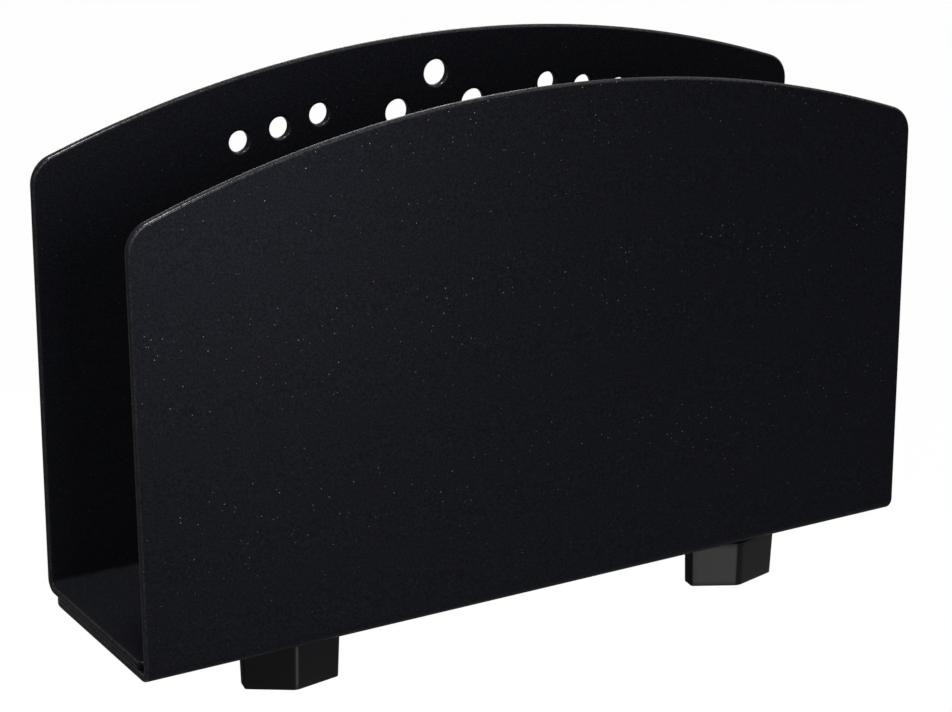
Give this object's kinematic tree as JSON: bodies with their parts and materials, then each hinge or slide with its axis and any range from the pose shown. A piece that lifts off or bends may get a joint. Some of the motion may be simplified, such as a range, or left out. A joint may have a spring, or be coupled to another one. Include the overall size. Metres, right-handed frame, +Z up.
{
  "type": "computer wall mount",
  "caption": "Wall mount for a small desktop computer: two folded steel brackets with arched plates and overlapping flanges, clamped from below by turned knobs.",
  "frame": {"origin": "on the wall face at the back of the rear plate, halfway across its width and 80 mm above the underside of the front bracket's flange", "axes": "+Z up, the front plate faces -Y, +X is to the right as seen from the front, and +Y points into the wall"},
  "size_m": [0.252, 0.0671, 0.1684],
  "materials": {
    "bracket": "fine-textured black powder coat on steel sheet",
    "bolt": "bright zinc plating",
    "washer": "bright zinc plating",
    "knob": "satin black moulded plastic",
    "insert": "turned brass"
  },
  "bodies": {
    "rear": {"rear_bracket": "bracket", "left_bolt": "bolt", "right_bolt": "bolt", "left_washer": "washer", "right_washer": "washer"},
    "front": {"front_bracket": "bracket"},
    "left_hand_knob": {"left_knob": "knob", "left_insert": "insert"},
    "right_hand_knob": {"right_knob": "knob", "right_insert": "insert"}
  },
  "joints": [
    {"name": "width_slide", "type": "slide", "parent": "rear", "child": "front", "axis": [0, -1, 0], "range_m": [0, 0.04]},
    {"name": "left_knob_turn", "type": "hinge", "parent": "rear", "child": "left_hand_knob", "pos_m": [-0.0755, -0.0518, -0.088], "axis": [0, 0, 1], "continuous": true},
    {"name": "right_knob_turn", "type": "hinge", "parent": "rear", "child": "right_hand_knob", "pos_m": [0.0755, -0.0518, -0.088], "axis": [0, 0, 1], "continuous": true}
  ]
}
